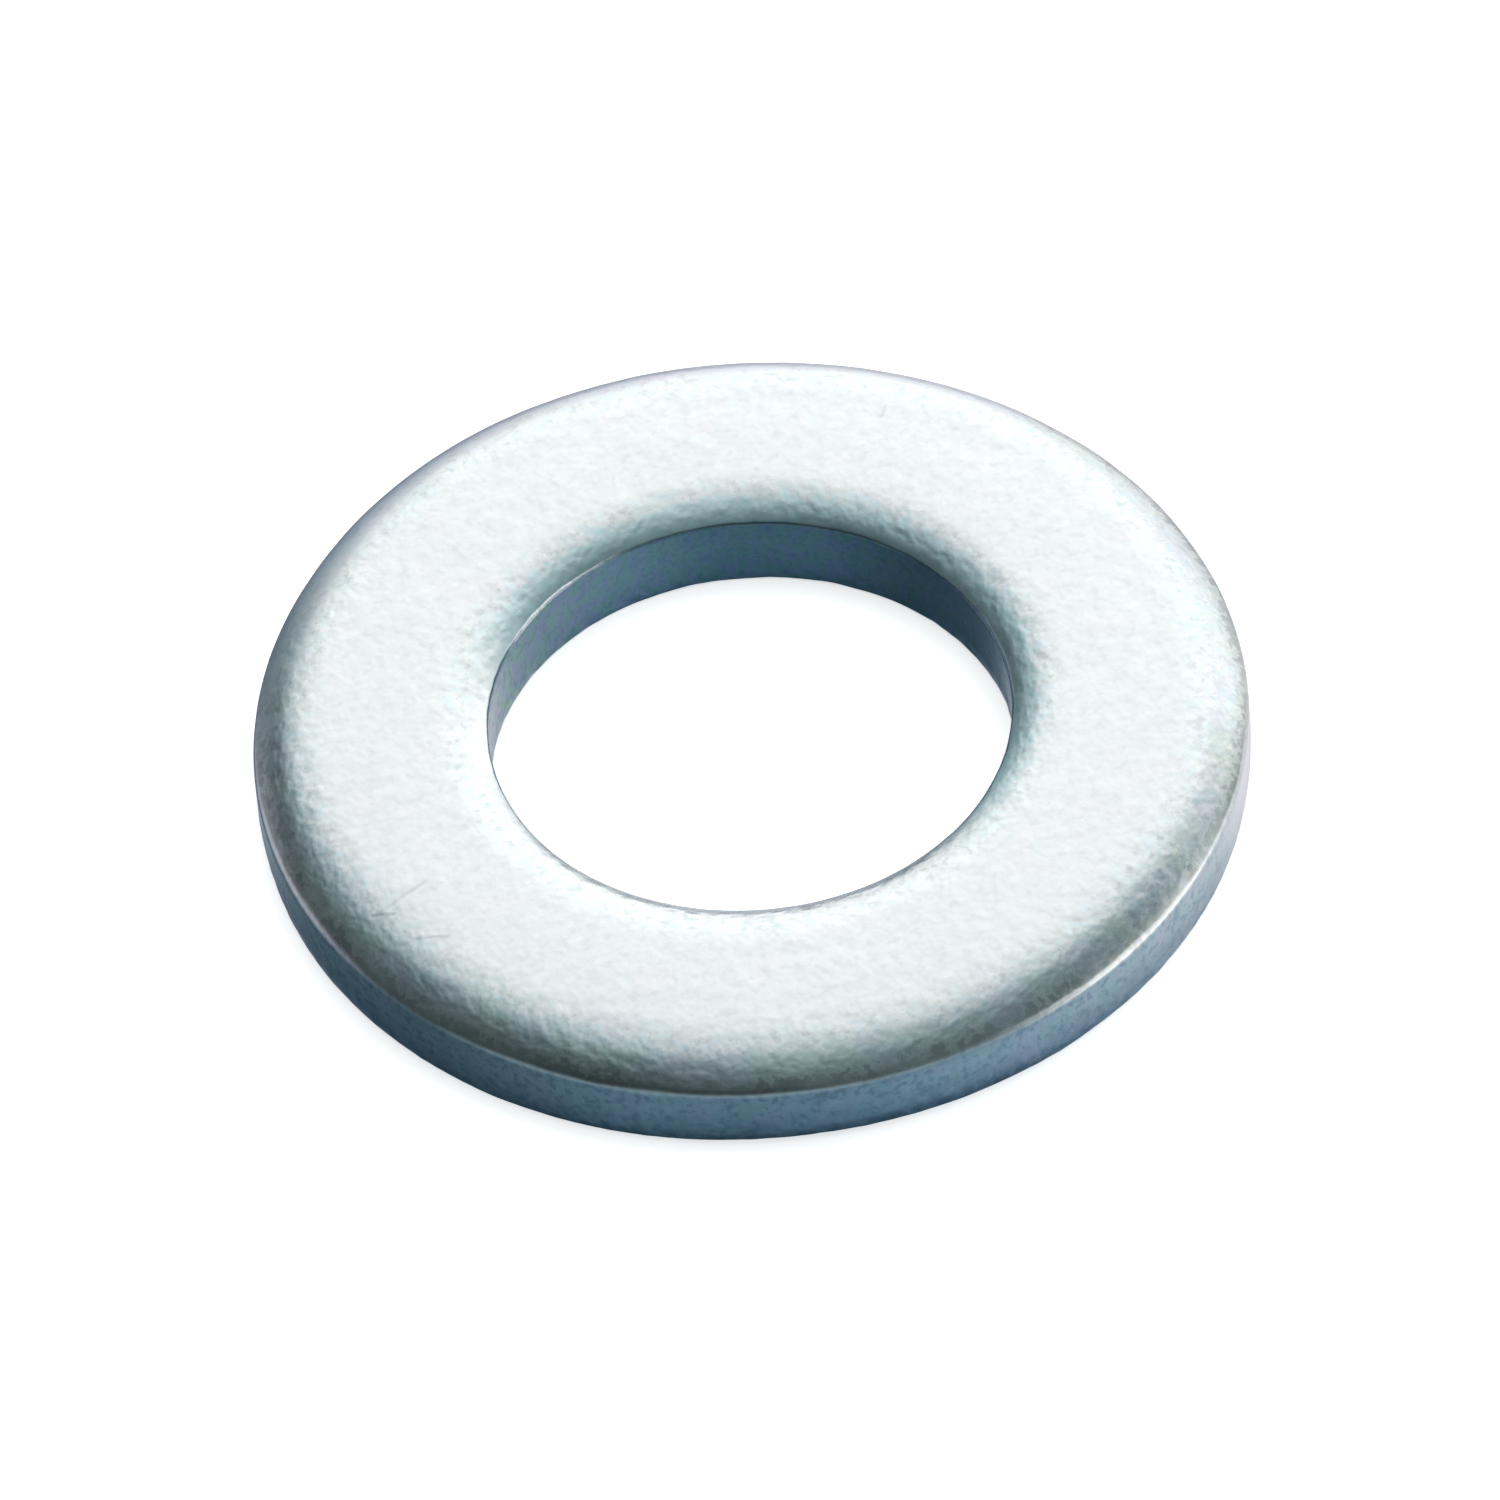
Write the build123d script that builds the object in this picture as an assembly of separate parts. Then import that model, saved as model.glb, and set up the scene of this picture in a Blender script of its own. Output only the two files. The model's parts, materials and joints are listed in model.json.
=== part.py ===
from build123d import *

import os

# A plain washer for an M10 bolt: 10.5 mm bore, 20 mm outside, 2 mm thick, the ISO 7089 (DIN 125 A) sizes.
#
# The washer is one piece of sheet steel. A compound die pierces the bore and blanks the rim in one stroke,
# so both edges are the same four stretches in mirror image. From the upper face down they are a die roll
# that curves the face into the edge, a round corner, an upright land that the shear burnished, and a
# fracture zone that leans back into the metal. The lower face is flat out to both edges.
#
# +Z is up the bore's axis. The origin is the bore's centre, on the lower bearing face.

# Driving dimensions, in millimetres
bore_diameter = 10.5
outside_diameter = 20.0
thickness = 2.0

# Die rolls: how far each one reaches in from its edge, how far down it takes the upper face,
# and the round corner where it meets the burnished land
rim_roll_width = 1.75
rim_roll_depth = 0.59
rim_corner_radius = 0.32
bore_roll_width = 1.35
bore_roll_depth = 0.33
bore_corner_radius = 0.15

# Sheared walls, the same at the rim and in the bore
fracture_height = 0.55  # from the lower face up to the burnished land
fracture_setback = 0.06  # how far the foot of the fracture zone leans back from the land
burr_edge_radius = 0.08  # tumbling rounds the burr off the lower face's two edges


def sheared_edge(land_radius, into_metal, roll_width, roll_depth):
    """The section of one edge, from the upper face's flat down to the lower face.

    into_metal is +1 where the metal lies outside the edge, as at the bore, and -1 where it lies inside.
    The die roll is a cubic: it leaves the flat with no slope, and drops with the cube of the distance.
    """
    roll = Bezier(
        (land_radius + into_metal * roll_width, thickness),
        (land_radius + into_metal * roll_width * 2 / 3, thickness),
        (land_radius + into_metal * roll_width / 3, thickness),
        (land_radius, thickness - roll_depth),
    )
    land = Line(roll @ 1, (land_radius, fracture_height))
    fracture = Line(land @ 1, (land_radius + into_metal * fracture_setback, 0))
    return [roll, land, fracture]


def washer_section():
    """Half of the washer's section, drawn with X as the radius and Y as the height."""
    rim = sheared_edge(outside_diameter / 2, -1, rim_roll_width, rim_roll_depth)
    bore = sheared_edge(bore_diameter / 2, 1, bore_roll_width, bore_roll_depth)
    upper_face = Line(bore[0] @ 0, rim[0] @ 0)
    lower_face = Line(bore[-1] @ 1, rim[-1] @ 1)
    return make_face([upper_face, lower_face, *rim, *bore])


def round_edges(solid, height, radius):
    """Rounds the circular edges that lie at one height."""
    at_height = solid.edges().filter_by_position(Axis.Z, height - 1e-6, height + 1e-6)
    return fillet(at_height.filter_by(GeomType.CIRCLE), radius)


def washer():
    blank = revolve(Plane.XZ * washer_section(), Axis.Z)
    blank = round_edges(blank, thickness - rim_roll_depth, rim_corner_radius)
    blank = round_edges(blank, thickness - bore_roll_depth, bore_corner_radius)
    return round_edges(blank, 0, burr_edge_radius)


os.makedirs("parts", exist_ok=True)
export_step(washer(), "parts/washer.step")
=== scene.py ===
import json
from math import cos, pi, radians, sin
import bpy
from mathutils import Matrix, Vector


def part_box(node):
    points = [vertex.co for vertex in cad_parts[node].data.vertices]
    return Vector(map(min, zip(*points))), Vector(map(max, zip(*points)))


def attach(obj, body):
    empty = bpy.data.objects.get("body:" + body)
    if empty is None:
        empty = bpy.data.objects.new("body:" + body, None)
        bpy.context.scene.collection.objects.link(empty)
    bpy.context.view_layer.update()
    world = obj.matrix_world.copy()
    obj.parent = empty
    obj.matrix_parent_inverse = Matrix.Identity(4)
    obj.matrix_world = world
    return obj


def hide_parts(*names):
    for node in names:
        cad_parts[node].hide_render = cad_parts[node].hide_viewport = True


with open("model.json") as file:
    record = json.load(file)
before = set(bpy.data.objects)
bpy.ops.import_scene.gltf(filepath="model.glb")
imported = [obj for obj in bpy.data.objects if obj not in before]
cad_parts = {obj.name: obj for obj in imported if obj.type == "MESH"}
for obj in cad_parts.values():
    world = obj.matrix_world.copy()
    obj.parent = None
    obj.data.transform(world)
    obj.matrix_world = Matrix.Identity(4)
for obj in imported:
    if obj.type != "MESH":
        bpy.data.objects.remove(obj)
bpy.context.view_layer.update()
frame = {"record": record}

from types import SimpleNamespace

import bpy
import numpy as np
from mathutils import Matrix, Vector

# A flat washer of zinc-plated steel, built as a mesh inside the CAD part's box. +Z is up the bore's axis,
# and the origin is the bore's centre on the lower face. Azimuths run from +X towards +Y, and the camera
# stands at the front, at 270 degrees.

MM = 0.001

# ---------------------------------------------------------------- sizes, in millimetres

OUTSIDE_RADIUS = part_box("washer")[1].x / MM
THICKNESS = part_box("washer")[1].z / MM
BORE_RADIUS = next(m for m in frame["record"]["mounts"] if m["name"] == "bore")["dims"]["r_mm"]
MIDDLE_RADIUS = (OUTSIDE_RADIUS + BORE_RADIUS) / 2

# The sheared edges, with the same sizes as the CAD section
RIM_ROLL = (1.75, 0.59)  # width in from the edge, depth down from the upper face
BORE_ROLL = (1.35, 0.33)
RIM_CORNER_RADIUS = 0.32
BORE_CORNER_RADIUS = 0.15
FRACTURE_HEIGHT = 0.55
FRACTURE_SETBACK = 0.06
BURR_EDGE_RADIUS = 0.08

# Forming marks that are too small for the CAD section. The punch stood off centre, which made the rim's
# die roll wider on one side. Each stretch of the rim has an azimuth and a spread, both in radians, and
# the share by which one size changes there
RIM_ROLL_LEAN, LEAN_AZIMUTH = 0.09, radians(245)
WIDE_STRETCH = (radians(207), 0.3, 0.10)  # of the die roll
SHALLOW_STRETCH = (radians(118), 0.6, -0.13)  # of the die roll
LEANING_STRETCH = (radians(277), 0.5, 1.1)  # of the fracture zone, which leans back more here
SAG_DEPTH, SAG_RADIUS, SAG_WIDTH = 0.021, 8.6, 0.75  # the upper face eases into the rim's die roll
TEAR_DEPTH, TEAR_SIZE = 0.004, 0.45  # roughness of the fracture zone
TEAR_BLEND = 0.90  # height over which the burnished land turns into the fracture zone
ORANGE_PEEL = ((0.0018, 2.4, 41), (0.0007, 0.7, 42))  # depth, size and seed of each of its ripples
RIM_SEED, BORE_SEED, TEAR_SEED = 100, 200, 31  # an edge also takes the nine seeds after its own

# ---------------------------------------------------------------- mesh

SPOKES = 720  # sections round the axis
SPOKE_ANGLES = np.arange(SPOKES) * 2 * pi / SPOKES
ROLL_STEPS = 24
CORNER_STEPS = 10
LAND_STEPS = 8
FRACTURE_STEPS = 8
FOOT_STEPS = 4
UPPER_FLAT_STEPS = 12
LOWER_FLAT_STEPS = 10
SURFACE_LAYERS = ("rolled", "sheared", "fractured", "inside")  # attributes that the material reads


def ripple(points, wavelength, seed, waves=14):
    """A smooth random field over points: about zero on average, and mostly between -1 and 1."""
    rng = np.random.default_rng(seed)
    directions = rng.normal(size=(waves, 3))
    directions /= np.linalg.norm(directions, axis=1, keepdims=True)
    stretch = rng.uniform(0.7, 1.5, (waves, 1))
    phases = rng.uniform(0, 2 * pi, waves)
    field = np.cos(points @ (directions * stretch * 2 * pi / wavelength).T + phases)
    return field.sum(axis=-1) / np.sqrt(waves)


def cylinder_points(radius, height):
    return np.stack([radius * np.cos(SPOKE_ANGLES), radius * np.sin(SPOKE_ANGLES), height], axis=-1)


def wander(seed, *ripples):
    """About 1, one value for each spoke. A ripple is a share and a wavelength, and takes the next seed."""
    rim = cylinder_points(OUTSIDE_RADIUS, np.zeros(SPOKES))
    return 1 + sum(share * ripple(rim, length, seed + k) for k, (share, length) in enumerate(ripples))


def local_change(azimuth, spread, share):
    """A smooth change by the share, centred on one azimuth: one value for each spoke."""
    return share * np.exp(-((SPOKE_ANGLES - azimuth) / spread) ** 2)


def bend(start, corner, end, steps):
    """A quadratic curve round a corner, tangent to both of its sides, without its two ends."""
    t = np.linspace(0, 1, steps + 2)[1:-1, None]
    return [(1 - t) ** 2 * a + 2 * t * (1 - t) * b + t ** 2 * c for a, b, c in zip(start, corner, end)]


def straight(start, end, steps):
    """Points from start to end, without the end."""
    t = np.linspace(0, 1, steps + 1)[:-1, None]
    return [(1 - t) * a + t * b for a, b in zip(start, end)]


def one_row(point):
    return [coordinate[None] for coordinate in point]


def edge_sizes(roll_size, corner_size, seed, wider=0.0, deeper=0.0, leaning=0.0):
    """An edge's sizes, which wander a little round the washer: one value of each for each spoke."""
    return {
        "width": roll_size[0] * (wider + wander(seed, (0.025, 9.0), (0.010, 2.0))),
        "depth": roll_size[1] * (deeper + wander(seed + 2, (0.020, 11.0), (0.008, 1.1))),
        "corner": corner_size * wander(seed + 4, (0.12, 2.6), (0.06, 0.8)),
        "tear": FRACTURE_HEIGHT * wander(seed + 6, (0.08, 3.5), (0.03, 0.9)),
        "setback": FRACTURE_SETBACK * (leaning + wander(seed + 8, (0.10, 2.2))),
        "foot": BURR_EDGE_RADIUS * wander(seed + 9, (0.15, 1.6)),
    }


def rim_sizes():
    wider = RIM_ROLL_LEAN * np.cos(SPOKE_ANGLES - LEAN_AZIMUTH) + local_change(*WIDE_STRETCH)
    deeper, leaning = local_change(*SHALLOW_STRETCH), local_change(*LEANING_STRETCH)
    return edge_sizes(RIM_ROLL, RIM_CORNER_RADIUS, RIM_SEED, wider, deeper, leaning)


def upper_stretches(size):
    """The die roll, the corner and the burnished land, from the top down. The die roll drops with the
    cube of the distance from the flat, and stops short of the corner."""
    slope = 3 * size["depth"] / size["width"]
    tangent = size["corner"] * np.tan((pi / 2 - np.arctan(slope)) / 2)
    last = 1 - tangent / (size["width"] * np.hypot(1, slope))
    along = np.linspace(0, 1, ROLL_STEPS)[:, None]
    roll = [size["width"] * (1 - along * last), THICKNESS - size["depth"] * (along * last) ** 3]

    zero = np.zeros(SPOKES)
    roll_end = (roll[0][-1], roll[1][-1])
    land_top = (zero, THICKNESS - size["depth"] - tangent)
    corner = bend(roll_end, (zero, THICKNESS - size["depth"]), land_top, CORNER_STEPS)
    return [roll, corner, straight(land_top, (zero, size["tear"]), LAND_STEPS)]


def lower_stretches(size):
    """The fracture zone, which leans back into the metal more and more, and its rounded foot."""
    zero = np.zeros(SPOKES)
    tilt = np.arctan(2 * size["setback"] / size["tear"])
    foot_tangent = size["foot"] * np.tan((pi / 2 - tilt) / 2)
    foot_start = (size["setback"] - foot_tangent * np.sin(tilt), foot_tangent * np.cos(tilt))
    foot_end = (size["setback"] + foot_tangent, zero)
    down = np.linspace(0, 1, FRACTURE_STEPS + 1)[:-1, None]
    fracture = [foot_start[0] * down ** 2, size["tear"] + (foot_start[1] - size["tear"]) * down]
    foot = bend(foot_start, (size["setback"], zero), foot_end, FOOT_STEPS)
    return [fracture, one_row(foot_start), foot, one_row(foot_end)]


def sheared_edge(size):
    """One edge, from the upper face down to the lower: an array of rows by spokes for each of
    into (depth into the metal), height, rolled (how far along the die roll), sheared (share of
    sheared wall) and fractured (share of fracture zone)."""
    stretches = upper_stretches(size) + lower_stretches(size)
    into, height = (np.concatenate([stretch[k] for stretch in stretches]) for k in (0, 1))
    in_foot = FOOT_STEPS + 1
    on_wall = len(into) - ROLL_STEPS - CORNER_STEPS - in_foot
    fading = np.linspace(1, 0, in_foot)
    rolled = [np.linspace(0, 1, ROLL_STEPS), np.ones(CORNER_STEPS + on_wall), fading]
    sheared = [np.zeros(ROLL_STEPS), np.linspace(0, 1, CORNER_STEPS), np.ones(on_wall), fading]
    rolled, sheared = (np.tile(np.concatenate(rows)[:, None], SPOKES) for rows in (rolled, sheared))
    fractured = sheared * np.clip((size["tear"] - height) / TEAR_BLEND + 0.5, 0, 1)
    return {"into": into, "height": height, "rolled": rolled, "sheared": sheared, "fractured": fractured}


def flat_between(start, end, height, steps):
    """A flat stretch of the section, without its two ends."""
    t = np.linspace(0, 1, steps + 2)[1:-1, None]
    radius = (1 - t) * start + t * end
    none = np.zeros_like(radius)
    return {"radius": radius, "height": none + height, "rolled": none, "sheared": none, "fractured": none}


def washer_section():
    """The whole section as a closed loop of rows, each with a value for every spoke."""
    rim = sheared_edge(rim_sizes())
    bore = sheared_edge(edge_sizes(BORE_ROLL, BORE_CORNER_RADIUS, BORE_SEED))
    rim["radius"] = OUTSIDE_RADIUS - rim["into"]
    bore["radius"] = BORE_RADIUS + bore["into"]
    upper = flat_between(bore["radius"][0], rim["radius"][0], THICKNESS, UPPER_FLAT_STEPS)
    lower = flat_between(rim["radius"][-1], bore["radius"][-1], 0.0, LOWER_FLAT_STEPS)
    bore = {name: rows[::-1] for name, rows in bore.items()}
    return {name: np.concatenate([part[name] for part in (upper, rim, lower, bore)]) for name in upper}


def form_marks(section):
    """Changes the section by the fracture zone's torn metal, and the upper face's sag and orange peel."""
    radius, height = section["radius"], section["height"]
    points = cylinder_points(radius, height)
    outward = np.where(radius > MIDDLE_RADIUS, 1.0, -1.0)
    torn = TEAR_DEPTH * (1 + ripple(points, TEAR_SIZE, TEAR_SEED)) * section["fractured"]
    radius = radius - outward * torn
    sag = SAG_DEPTH * np.exp(-((radius - SAG_RADIUS) / SAG_WIDTH) ** 2)
    peel = sum(depth * (1 + ripple(points, size, seed)) for depth, size, seed in ORANGE_PEEL)
    on_top = (height > THICKNESS / 2) * (1 - section["sheared"])
    height = height - (sag + peel) * on_top
    section["radius"] = np.clip(radius, BORE_RADIUS, OUTSIDE_RADIUS)
    section["height"] = np.clip(height, 0, THICKNESS)


def washer_mesh():
    section = washer_section()
    form_marks(section)
    section["inside"] = np.where(section["radius"] < MIDDLE_RADIUS, 1.0, 0.0)
    points = cylinder_points(section["radius"], section["height"])

    here = np.arange(points.shape[0] * SPOKES).reshape(-1, SPOKES)
    below = np.roll(here, -1, axis=0)
    corners = [here, below, np.roll(below, -1, axis=1), np.roll(here, -1, axis=1)]
    quads = np.stack(corners, axis=-1).reshape(-1, 4)
    mesh = bpy.data.meshes.new("washer_plated")
    mesh.from_pydata((points.reshape(-1, 3) * MM).tolist(), [], quads.tolist())
    mesh.shade_smooth()
    for name in SURFACE_LAYERS:
        layer = mesh.attributes.new(name, "FLOAT", "POINT")
        layer.data.foreach_set("value", section[name].ravel().astype(np.float32))
    mesh.validate()
    mesh.update()
    return mesh


# ---------------------------------------------------------------- node graphs

def heading(azimuth, elevation=0.0):
    """A unit vector. Azimuth is in degrees from +X towards +Y, and elevation is above the horizon."""
    a, e = radians(azimuth), radians(elevation)
    return Vector((cos(e) * cos(a), cos(e) * sin(a), sin(e)))


class Graph:
    """Builds one node tree. An input that is a socket is linked; any other value is set on the node."""

    def __init__(self, tree):
        self.tree = tree
        tree.nodes.clear()

    def node(self, kind, inputs=(), output=0, **settings):
        made = self.tree.nodes.new(kind)
        for name, value in settings.items():
            setattr(made, name, value)
        for name, value in dict(inputs).items():
            if isinstance(value, bpy.types.NodeSocket):
                self.tree.links.new(value, made.inputs[name])
            else:
                made.inputs[name].default_value = value
        return made.outputs[output] if made.outputs else None

    def attribute(self, name):
        return self.node("ShaderNodeAttribute", output="Fac", attribute_name=name)

    def math(self, operation, a, b=0.0):
        return self.node("ShaderNodeMath", {0: a, 1: b}, operation=operation)

    def times(self, a, b):
        return self.math("MULTIPLY", a, b)

    def inverse(self, value):
        """1 less the value."""
        return self.math("SUBTRACT", 1.0, value)

    def vector(self, operation, a, b):
        return self.node("ShaderNodeVectorMath", {0: a, 1: b}, operation=operation)

    def scaled(self, vector, factor):
        return self.node("ShaderNodeVectorMath", {0: vector, "Scale": factor}, operation="SCALE")

    def dot(self, a, b):
        return self.node("ShaderNodeVectorMath", {0: a, 1: b}, output="Value", operation="DOT_PRODUCT")

    def length(self, a):
        return self.node("ShaderNodeVectorMath", {0: a}, output="Value", operation="LENGTH")

    def ramp(self, value, low, high, to_low=0.0, to_high=1.0, kind="SMOOTHSTEP"):
        """value from low..high carried to to_low..to_high, and held at those ends."""
        inputs = {"Value": value, "From Min": low, "From Max": high, "To Min": to_low, "To Max": to_high}
        return self.node("ShaderNodeMapRange", inputs, interpolation_type=kind)

    def mix(self, factor, a, b):
        return self.node("ShaderNodeMix", {"Factor": factor, 6: a, 7: b}, output=2, data_type="RGBA")

    def mix_value(self, factor, a, b):
        return self.node("ShaderNodeMix", {"Factor": factor, 2: a, 3: b}, data_type="FLOAT")

    def noise(self, position, feature_mm, detail=2.0, roughness=0.5):
        scale = 1 / (feature_mm * MM)
        inputs = {"Vector": position, "Scale": scale, "Detail": detail, "Roughness": roughness}
        return self.node("ShaderNodeTexNoise", inputs)

    def bump(self, microns):
        return self.node("ShaderNodeBump", {"Strength": 1.0, "Distance": 1e-6, "Height": microns})


def new_material(name):
    material = bpy.data.materials.new(name)
    material.use_nodes = True
    return material, Graph(material.node_tree)


# ---------------------------------------------------------------- the zinc plating

# The upper face and the die rolls
FACE_BLUE = (0.850, 0.905, 0.925, 1)
FACE_GREEN = (0.860, 0.915, 0.908, 1)
FACE_LILAC = (0.885, 0.890, 0.925, 1)
FACE_FLECK = (0.50, 0.56, 0.58, 1)
ROLL_BLUE = (0.74, 0.94, 1.0, 1)
ROLL_DARK = (0.38, 0.53, 0.56, 1)
BAND_OLIVE = (0.48, 0.56, 0.40, 1)
BAND_GREY = (0.50, 0.52, 0.60, 1)
# The outer band at the die roll's end: partly an olive tint, partly a painted dark reflection
PAINTED_SHADE_PURPLE = (0.17, 0.11, 0.15, 1)
PAINTED_SHADE_DARK_OLIVE = (0.36, 0.40, 0.30, 1)
CALM_LILAC = (0.62, 0.595, 0.67, 1)
BORE_TEAL = (0.66, 0.92, 0.94, 1)
BORE_PALE = (0.90, 0.93, 0.94, 1)
SCRATCH_GREY = (0.42, 0.44, 0.50, 1)
# The corners: partly a burnish, partly a painted glint
BURNISH_AND_GLINT_SILVER = (0.86, 0.89, 0.91, 1)

# The sheared walls
WALL_TEAL = (0.53, 0.68, 0.71, 1)
WALL_LILAC = (0.63, 0.665, 0.76, 1)
WALL_BLUE = (0.62, 0.71, 0.81, 1)
WALL_STREAK = (0.34, 0.43, 0.50, 1)
WALL_MOTTLE = (0.29, 0.40, 0.50, 1)
WALL_TORN_AND_PAINTED_SHADE = (0.17, 0.26, 0.355, 1)
WALL_PAINTED_HIGHLIGHT = (0.84, 0.86, 0.90, 1)
BORE_WALL_GREEN = (0.155, 0.315, 0.305, 1)
BORE_WALL_BLUE = (0.190, 0.255, 0.395, 1)
BORE_WALL_DARK = (0.105, 0.195, 0.265, 1)

# Sides that differ from the rest: an azimuth in degrees, and how far towards it, in millimetres from the
# axis, the difference starts and is complete
CALM_SIDE = (112, 0.35 * OUTSIDE_RADIUS, 0.80 * OUTSIDE_RADIUS)  # the rim's darker bands, smooth and lilac
TEAL_SIDE = (60, -0.45 * BORE_RADIUS, 0.15 * BORE_RADIUS)  # the bore's die roll, pale on the other side
PAINTED_GLINT_SIDE = (134, 0.93 * BORE_RADIUS, 0.985 * BORE_RADIUS)  # the bore's corner, where a painted glint is brightest
PAINTED_SHADE_SIDE = (180, 0.45 * BORE_RADIUS, BORE_RADIUS)  # the bore's wall, darker on this side: painted shade
PAINTED_HIGHLIGHT_SIDE = (0, 0.89 * OUTSIDE_RADIUS, OUTSIDE_RADIUS)  # the rim's wall, paler on this side: a painted highlight

# Handling scratches on the upper face: start and end in millimetres, width in millimetres, and strength
SCRATCHES = (
    ((-6.71, -4.04), (-7.02, -4.27), 0.16, 0.50),
    ((-7.02, -4.27), (-7.50, -4.62), 0.18, 0.35),
    ((-7.40, -4.79), (-7.80, -4.74), 0.16, 0.95),
    ((-6.33, -5.54), (-6.97, -5.50), 0.14, 0.50),
    ((3.27, 7.93), (3.17, 7.62), 0.12, 0.45),
)
SCRATCH_SQUASH = Vector((1, 1, 0.1))  # lets a straight scratch follow the slight curve of the die roll
SCRATCH_DEPTH = 3.0  # microns

GRAIN_STRETCH = (1, 0.78, 1.9)  # the sheet was rolled along Y, which draws its grain out
STREAK_STRETCH = (1, 1, 0.12)  # the punch drew the walls' streaks along Z
FACE_GRAIN = (9.5, 20.5)  # height in microns on the flat, and on the die rolls, where the sheet stretched
WALL_GRAIN = (5.0, 10.0)  # height in microns on the land, and in the fracture zone
BURNISHED_ROUGHNESS = 0.26
FRACTURE_ROUGHNESS = 0.08  # how much rougher the fracture zone is than the land


def scratch(g, place, start, end, width, strength):
    """Its strength on the line from start to end on the upper face, and 0 beyond half the width from it."""
    a = Vector((*start, THICKNESS)) * SCRATCH_SQUASH * MM
    run = Vector((*end, THICKNESS)) * SCRATCH_SQUASH * MM - a
    from_start = g.vector("SUBTRACT", g.vector("MULTIPLY", place, SCRATCH_SQUASH), a)
    along = g.ramp(g.dot(from_start, run / run.length_squared), 0.0, 1.0, kind="LINEAR")
    distance = g.length(g.vector("SUBTRACT", from_start, g.scaled(run, along)))
    return g.ramp(distance, 0.0, width / 2 * MM, strength, 0.0)


def scratches(g, at):
    """All of the scratches, each broken up a little by the grain."""
    deepest = 0.0
    for marks in SCRATCHES:
        deepest = g.math("MAXIMUM", scratch(g, at.place, *marks), deepest)
    return g.times(deepest, g.ramp(at.grain, 0.35, 0.60, 1.0, 0.60))


def on_side(g, place, side, elsewhere=0.0, there=1.0):
    """A ramp over how far the place lies towards one side."""
    azimuth, low, high = side
    return g.ramp(g.dot(place, heading(azimuth)), low * MM, high * MM, elsewhere, there)


def surface_inputs(g):
    """What the finish depends on: the place, the mesh's layers, and patterns that several parts share."""
    at = SimpleNamespace(**{name: g.attribute(name) for name in SURFACE_LAYERS})
    at.place = g.node("ShaderNodeTexCoord", output="Object")
    at.grain = g.noise(g.vector("MULTIPLY", at.place, GRAIN_STRETCH), 0.26, detail=1.3, roughness=0.45)
    at.mottle = g.noise(at.place, 0.17, detail=1.5)
    at.burnished = g.times(g.times(at.sheared, 4.0), g.inverse(at.sheared))  # 1 halfway round a corner
    at.calm = g.mix_value(at.inside, on_side(g, at.place, CALM_SIDE), 0.0)
    at.scratched = scratches(g, at)
    return at


def roll_band_colours(g, at, patch, bands):
    """The colours of the die rolls' two darker bands. Each band has two limits on the patches and the two
    colours that they blend, but it is lilac on the calm side, and teal or pale in the bore."""
    in_bore = g.mix(on_side(g, at.place, TEAL_SIDE), BORE_PALE, BORE_TEAL)
    colours = []
    for low, high, one, other in bands:
        colour = g.mix(g.ramp(patch, low, high), one, other)
        colour = g.mix(at.calm, colour, CALM_LILAC)
        colours.append(g.mix(at.inside, colour, in_bore))
    return colours


def face_colour(g, at):
    """Silvery zinc in faint blue, green and lilac clouds, flecked with grey. The die rolls are mottled
    with bright blue and dark teal, and darker in two bands towards the corner: the inner one olive and grey,
    the outer one at the roll's end partly an olive tint and partly a painted dark reflection."""
    patch = g.noise(at.place, 1.1, detail=1.0)
    mottle = g.noise(at.place, 0.21, detail=2.5, roughness=0.6)
    fleck = g.noise(at.place, 0.22, detail=1.0)
    colour = g.mix(g.ramp(g.noise(at.place, 2.2), 0.38, 0.62), FACE_BLUE, FACE_GREEN)
    colour = g.mix(g.ramp(patch, 0.52, 0.72, 0.0, 0.6), colour, FACE_LILAC)
    colour = g.mix(g.ramp(fleck, 0.28, 0.50, 0.15, 0.0), colour, FACE_FLECK)

    on_roll = g.ramp(at.rolled, 0.15, 0.50)
    colour = g.mix(g.times(g.ramp(mottle, 0.50, 0.64, 0.0, 0.55), on_roll), colour, ROLL_BLUE)
    colour = g.mix(g.times(g.ramp(mottle, 0.34, 0.48, 0.30, 0.0), on_roll), colour, ROLL_DARK)

    # The mottle wavers the start of each band, but not on the calm side
    bands = ((0.42, 0.58, BAND_OLIVE, BAND_GREY), (0.40, 0.58, PAINTED_SHADE_PURPLE, PAINTED_SHADE_DARK_OLIVE))
    inner, outer = roll_band_colours(g, at, patch, bands)
    waver = g.times(g.ramp(mottle, 0.3, 0.7, -0.09, 0.09), g.inverse(at.calm))
    rolled = g.math("ADD", at.rolled, waver)
    # The inner band: darker, olive and grey
    colour = g.mix(g.ramp(rolled, 0.61, 0.68, 0.0, g.mix_value(at.inside, 0.27, 0.45)), colour, inner)
    # The outer band at the roll's end: partly an olive tint, partly a painted dark reflection
    return g.mix(g.ramp(rolled, 0.90, 1.0, 0.0, 0.42), colour, outer)


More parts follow.
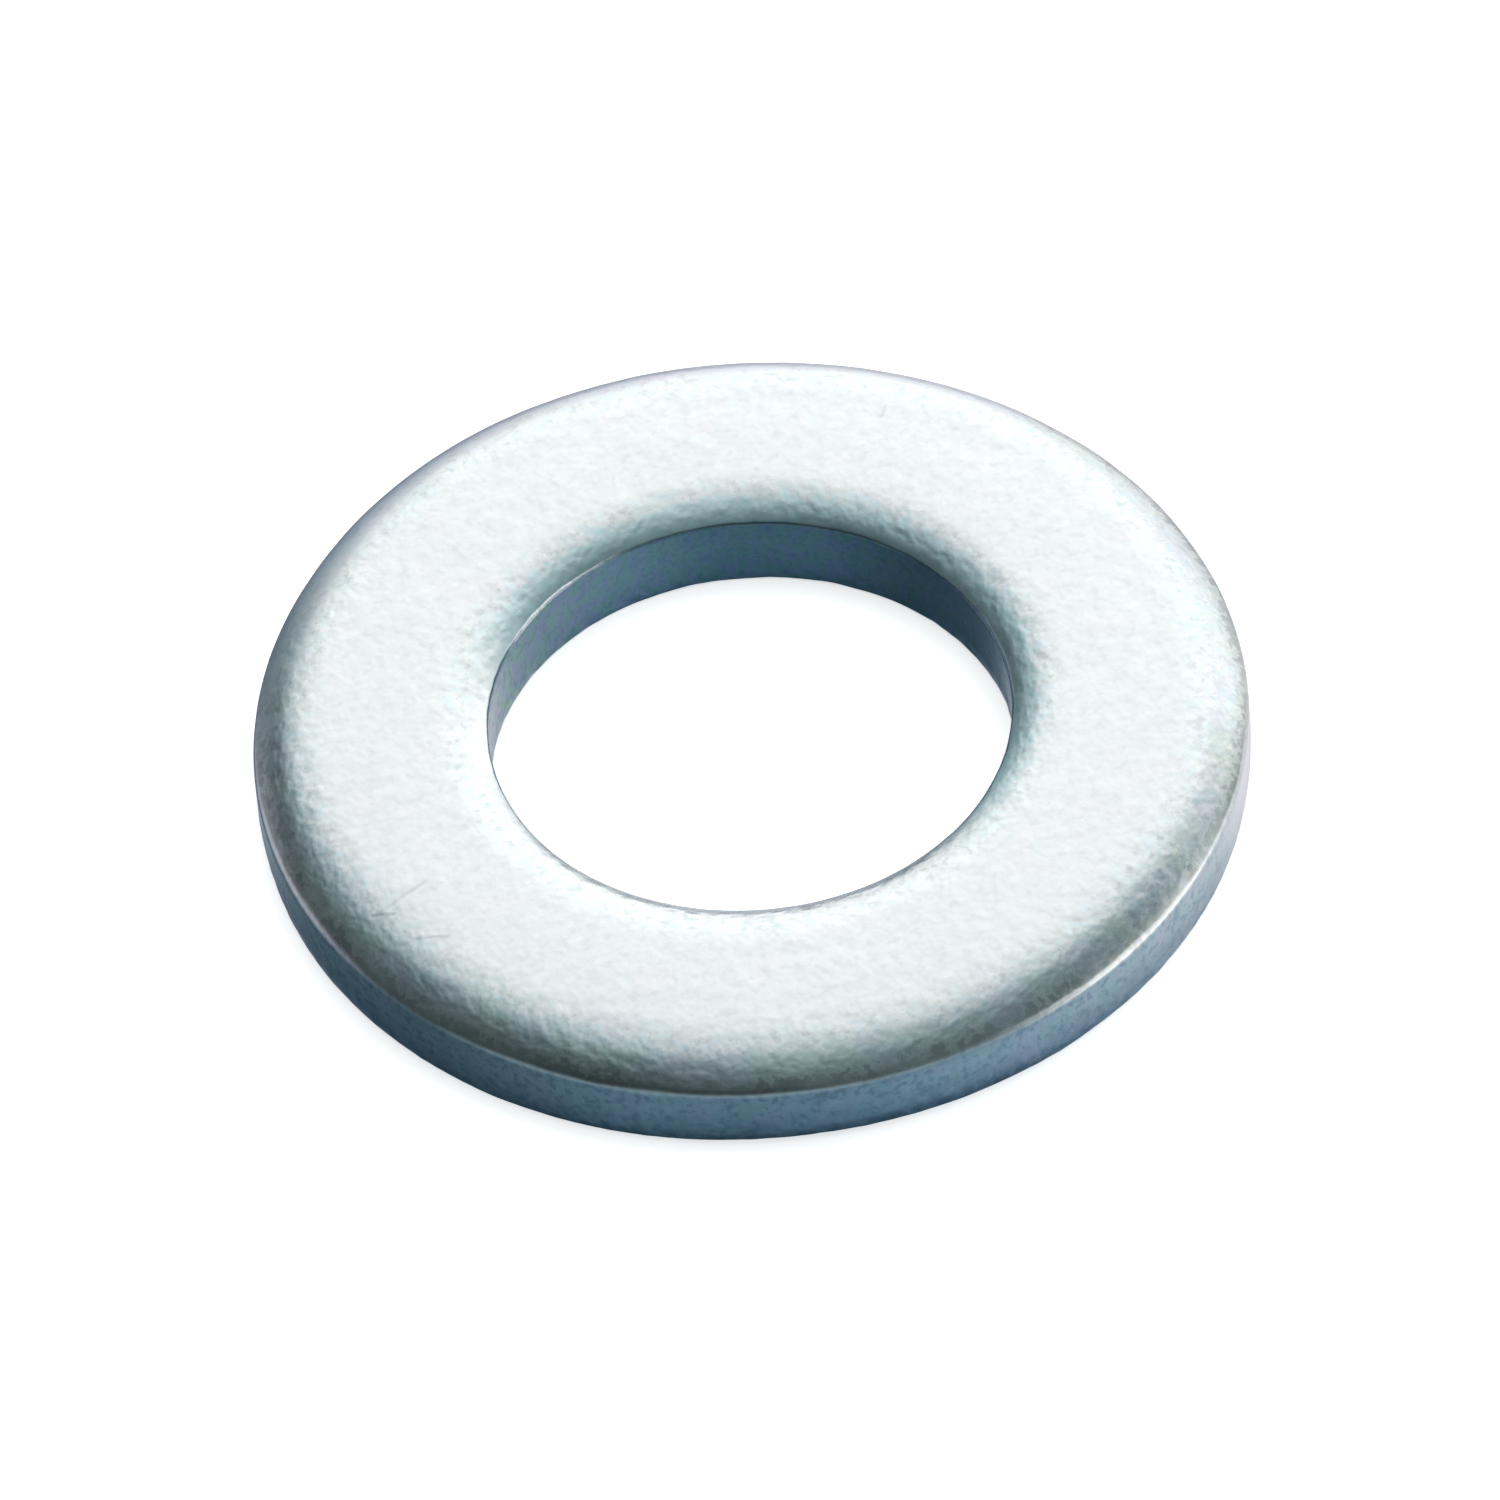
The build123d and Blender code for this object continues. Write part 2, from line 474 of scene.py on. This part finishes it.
def wall_colour(g, at):
    """Bluer sheared metal, mottled teal and lilac: darker towards the bottom in the fracture zone, partly
    torn metal and partly painted shade; paler on one side of the rim, a painted highlight; and darker in the
    bore, partly duller plating and partly painted shade, painted darkest on one side."""
    patch = g.noise(at.place, 0.70, detail=1.5)
    blot = g.noise(at.place, 0.26, detail=2.0)
    streak = g.noise(g.vector("MULTIPLY", at.place, STREAK_STRETCH), 0.13, detail=1.5)
    colour = g.mix(g.ramp(patch, 0.36, 0.64), WALL_TEAL, WALL_LILAC)
    colour = g.mix(g.ramp(blot, 0.52, 0.66, 0.0, 0.55), colour, WALL_BLUE)
    colour = g.mix(g.ramp(streak, 0.35, 0.55, 0.16, 0.0), colour, WALL_STREAK)
    colour = g.mix(g.ramp(at.mottle, 0.32, 0.52, 0.66, 0.0), colour, WALL_MOTTLE)
    # Darker towards the bottom: partly the torn fracture zone, partly painted shade near the floor
    colour = g.mix(g.times(at.fractured, g.ramp(blot, 0.35, 0.60, 1.0, 0.70)), colour, WALL_TORN_AND_PAINTED_SHADE)
    # A painted highlight: the rim's wall painted paler on one side
    colour = g.mix(on_side(g, at.place, PAINTED_HIGHLIGHT_SIDE, 0.0, 0.9), colour, WALL_PAINTED_HIGHLIGHT)

    # The bore's wall is darker: partly duller plating, partly painted shade
    in_bore = g.mix(g.ramp(blot, 0.42, 0.60), BORE_WALL_GREEN, BORE_WALL_BLUE)
    in_bore = g.mix(g.ramp(at.mottle, 0.52, 0.66, 0.0, 0.6), in_bore, BORE_WALL_DARK)
    # Painted shade: the bore's wall is painted darker still on one side
    return g.mix(g.times(at.inside, on_side(g, at.place, PAINTED_SHADE_SIDE, 0.68, 0.97)), colour, in_bore)


def zinc_colour(g, at):
    """The face's colour turning into the wall's round each corner, under scratches and a bright corner that
    is partly a burnish and partly a painted glint, painted brightest on one side of the bore.
    """
    face = g.mix(g.times(at.scratched, 0.80), face_colour(g, at), SCRATCH_GREY)
    walled = g.mix_value(at.inside, g.ramp(at.sheared, 0.30, 1.0), g.ramp(at.sheared, 0.0, 0.35))
    colour = g.mix(walled, face, wall_colour(g, at))
    # The bright corner: partly a burnish, partly a painted glint
    shine = g.times(at.burnished, g.ramp(at.mottle, 0.35, 0.60, 0.40, 0.75))
    # A painted glint on one side of the bore's corner, faint elsewhere
    shine = g.times(shine, g.mix_value(at.inside, 1.0, on_side(g, at.place, PAINTED_GLINT_SIDE, 0.04, 1.35)))
    return g.mix(shine, colour, BURNISH_AND_GLINT_SILVER)


def zinc_roughness(g, at):
    face = g.ramp(g.noise(at.place, 0.34), 0.3, 0.7, 0.22, 0.31, kind="LINEAR")
    wall = g.ramp(at.mottle, 0.3, 0.7, 0.21, 0.30, kind="LINEAR")
    wall = g.math("ADD", wall, g.times(at.fractured, FRACTURE_ROUGHNESS))
    return g.mix_value(at.burnished, g.mix_value(at.sheared, face, wall), BURNISHED_ROUGHNESS)


def zinc_height(g, at):
    """Height in microns: the grain, less the scratches. The grain is worn smooth at the ends of the die
    rolls, and over the whole of the darker bands on the calm side."""
    microns = g.times(g.ramp(at.rolled, 0.05, 0.45, *FACE_GRAIN), g.ramp(at.rolled, 0.80, 1.0, 1.0, 0.20))
    smooth = g.times(at.calm, g.ramp(at.rolled, 0.42, 0.62, 0.0, 0.88))
    face = g.times(g.math("SUBTRACT", at.grain, 0.5), g.times(microns, g.inverse(smooth)))
    wall = g.times(g.math("SUBTRACT", at.mottle, 0.5), g.ramp(at.fractured, 0.0, 1.0, *WALL_GRAIN))
    height = g.mix_value(at.sheared, face, g.times(wall, g.ramp(at.sheared, 0.8, 1.0)))
    return g.math("SUBTRACT", height, g.times(at.scratched, SCRATCH_DEPTH))


def zinc_material():
    """Bright zinc plating: fine grain on the faces and die rolls, and bluer, smoother sheared walls."""
    material, g = new_material("zinc_plated_steel")
    at = surface_inputs(g)
    inputs = {
        "Base Color": zinc_colour(g, at), "Metallic": 1.0,
        "Roughness": zinc_roughness(g, at), "Normal": g.bump(zinc_height(g, at)),
    }
    g.node("ShaderNodeOutputMaterial", {"Surface": g.node("ShaderNodeBsdfPrincipled", inputs)})
    return material


# ---------------------------------------------------------------- the studio

# Panels of light: azimuth, elevation, half width, half height and softness in degrees, and brightness
PANELS = {
    "key, behind": (69, 22, 40, 24, 20, 1.02),
    "right": (-9, 6, 22, 22, 10, 1.15),
    "front fill": (265, 0, 58, 14, 8, 0.18),
}

# Round glows: azimuth, elevation, inner and outer radius in degrees, and brightness
GLOWS = {
    "ceiling": (83, 62, 0, 51, 0.735),
    "ceiling, front": (260, 78, 0, 36, 0.14),
    "right wall": (327, 40, 10, 56, 0.12),
    "left wall": (175, 40, 0, 45, 0.05),
    "left": (152, -6, 5, 35, 0.48),
    "left, behind": (118, 12, 6, 20, 0.11),
    "behind, below the key": (79, -2, 6, 27, 0.38),
    "right of the key": (43, 15, 4, 24, 0.30),
    "above the key, right": (50, 52, 2, 20, 0.12),
    "low, behind": (76, -47, 6, 38, 0.34),
    "low, front": (272, -45, 20, 60, 0.13),
}
FLOOR_GLOW = (27, -30, 0, 92, 0.64)
LILAC_GLOWS = ((95, -30, 10, 50, 0.55), (158, -2, 5, 42, 0.8))  # tinted lilac; the last value is how much
ROOM_BELOW, ROOM_ABOVE = 0.11, 0.06  # brightness of the dim room below and above the horizon
SHADE_BELOW = 0.20  # the share of the floor's light that is left straight below the washer

DIM_BELOW = (0.62, 1.0, 1.25, 1)
DIM_ABOVE = (0.76, 1.0, 1.07, 1)
WHITE = (1.0, 1.0, 1.0, 1)
LILAC = (1.05, 0.97, 1.10, 1)

LAMP_PLACE, LAMP_WIDTH, LAMP_WATTS = Vector((0.05, 0.1, 0.7)), 0.8, 3.6  # metres

FLOOR_HALF_WIDTH = 3.0  # metres
FLOOR_GAP = 0.01 * MM  # keeps the floor clear of the washer's lower face
FLOOR_GREYS = ((0.90, 0.90, 0.90, 1), (0.92, 0.92, 0.92, 1))
FLOOR_LIGHT = 0.6  # the floor is lit a little from below, like a light table

CAMERA_AZIMUTH, CAMERA_ELEVATION, CAMERA_ROLL = 270, 47.3, -4.87  # degrees
CAMERA_DISTANCE, CAMERA_LENS = 0.40, 477.8  # metres, and millimetres of focal length
CAMERA_AIM = Vector((-0.056, 0.322, 0.297)) * MM


def soft_panel(g, direction, azimuth, elevation, half_width, half_height, softness, brightness):
    """How bright one soft panel is in a direction. The sizes are angles in degrees, seen from the washer."""
    centre = heading(azimuth, elevation)
    side = heading(azimuth + 90)
    up = centre.cross(side)
    seen = brightness
    for across, half in ((side, half_width), (up, half_height)):
        offset = g.math("ABSOLUTE", g.math("ARCSINE", g.dot(direction, across)))
        edge = g.ramp(offset, radians(half - softness), radians(half + softness), 1.0, 0.0)
        seen = g.times(edge, seen)
    return g.times(g.math("GREATER_THAN", g.dot(direction, centre), 0.0), seen)


def soft_glow(g, direction, azimuth, elevation, inner, outer, brightness):
    """A round glow that is full out to the inner angle and gone at the outer one, in degrees."""
    angle = g.math("ARCCOSINE", g.dot(direction, heading(azimuth, elevation)))
    return g.ramp(angle, radians(inner), radians(outer), brightness, 0.0)


def light_world():
    """The surroundings that the metal mirrors: soft lights in a dim room, over a dim bluish floor."""
    world = bpy.data.worlds.new("studio")
    bpy.context.scene.world = world
    world.use_nodes = True
    g = Graph(world.node_tree)
    direction = g.node("ShaderNodeTexCoord", output="Generated")
    height = g.node("ShaderNodeSeparateXYZ", {0: direction}, output="Z")
    above = g.ramp(height, -0.10, 0.05)
    beside_shadow = g.ramp(height, -1.0, -0.78, SHADE_BELOW, 1.0)

    floor = g.math("ADD", soft_glow(g, direction, *FLOOR_GLOW), ROOM_BELOW)
    total = g.mix_value(above, g.times(floor, beside_shadow), ROOM_ABOVE)
    for panel in PANELS.values():
        total = g.math("ADD", total, soft_panel(g, direction, *panel))
    for glow in GLOWS.values():
        total = g.math("ADD", total, soft_glow(g, direction, *glow))

    tint = g.mix(g.ramp(total, 0.15, 0.90), g.mix(above, DIM_BELOW, DIM_ABOVE), WHITE)
    for glow in LILAC_GLOWS:
        tint = g.mix(soft_glow(g, direction, *glow), tint, LILAC)
    background = g.node("ShaderNodeBackground", {"Color": g.scaled(tint, total), "Strength": 1.0})
    g.node("ShaderNodeOutputWorld", {"Surface": background})


def overhead_light():
    """A big soft light over the floor. The metal doesn't reflect it, so it only brightens the floor."""
    data = bpy.data.lights.new("overhead", "AREA")
    data.shape = "DISK"
    data.size = LAMP_WIDTH
    data.energy = LAMP_WATTS
    lamp = bpy.data.objects.new("overhead", data)
    lamp.location = LAMP_PLACE
    lamp.rotation_euler = (-LAMP_PLACE).to_track_quat("-Z", "Y").to_euler()
    lamp.visible_glossy = False
    lamp.visible_camera = False
    bpy.context.scene.collection.objects.link(lamp)


def floor_material():
    """Matt white, which gives off a little light of its own, to keep the shadows faint."""
    material, g = new_material("pale_floor")
    place = g.node("ShaderNodeTexCoord", output="Object")
    inputs = {
        "Base Color": g.mix(g.ramp(g.noise(place, 30.0), 0.3, 0.7), *FLOOR_GREYS),
        "Roughness": 0.9, "Specular IOR Level": 0.0,
        "Emission Color": WHITE, "Emission Strength": FLOOR_LIGHT,
    }
    g.node("ShaderNodeOutputMaterial", {"Surface": g.node("ShaderNodeBsdfPrincipled", inputs)})
    return material


def add_floor():
    far, down = FLOOR_HALF_WIDTH, -FLOOR_GAP
    corners = [(-far, -far, down), (far, -far, down), (far, far, down), (-far, far, down)]
    mesh = bpy.data.meshes.new("floor")
    mesh.from_pydata(corners, [], [(0, 1, 2, 3)])
    mesh.materials.append(floor_material())
    floor = bpy.data.objects.new("floor", mesh)
    floor.visible_glossy = False
    bpy.context.scene.collection.objects.link(floor)


def add_camera():
    """A long lens from the front, looking down, with the camera rolled a little to the left."""
    data = bpy.data.cameras.new("camera")
    data.lens = CAMERA_LENS
    data.clip_start, data.clip_end = 0.01, 20.0
    camera = bpy.data.objects.new("camera", data)
    back = heading(CAMERA_AZIMUTH, CAMERA_ELEVATION)
    camera.location = CAMERA_AIM + back * CAMERA_DISTANCE
    turn = back.to_track_quat("Z", "Y").to_matrix() @ Matrix.Rotation(radians(CAMERA_ROLL), 3, "Z")
    camera.rotation_euler = turn.to_euler()
    bpy.context.scene.collection.objects.link(camera)
    bpy.context.scene.camera = camera


# ---------------------------------------------------------------- the part

def add_washer():
    mesh = washer_mesh()
    mesh.materials.append(zinc_material())
    washer = bpy.data.objects.new("washer_plated", mesh)
    bpy.context.scene.collection.objects.link(washer)
    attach(washer, "root")
    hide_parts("washer")


add_washer()
add_floor()
light_world()
overhead_light()
add_camera()
bpy.context.scene.view_settings.view_transform = "Standard"
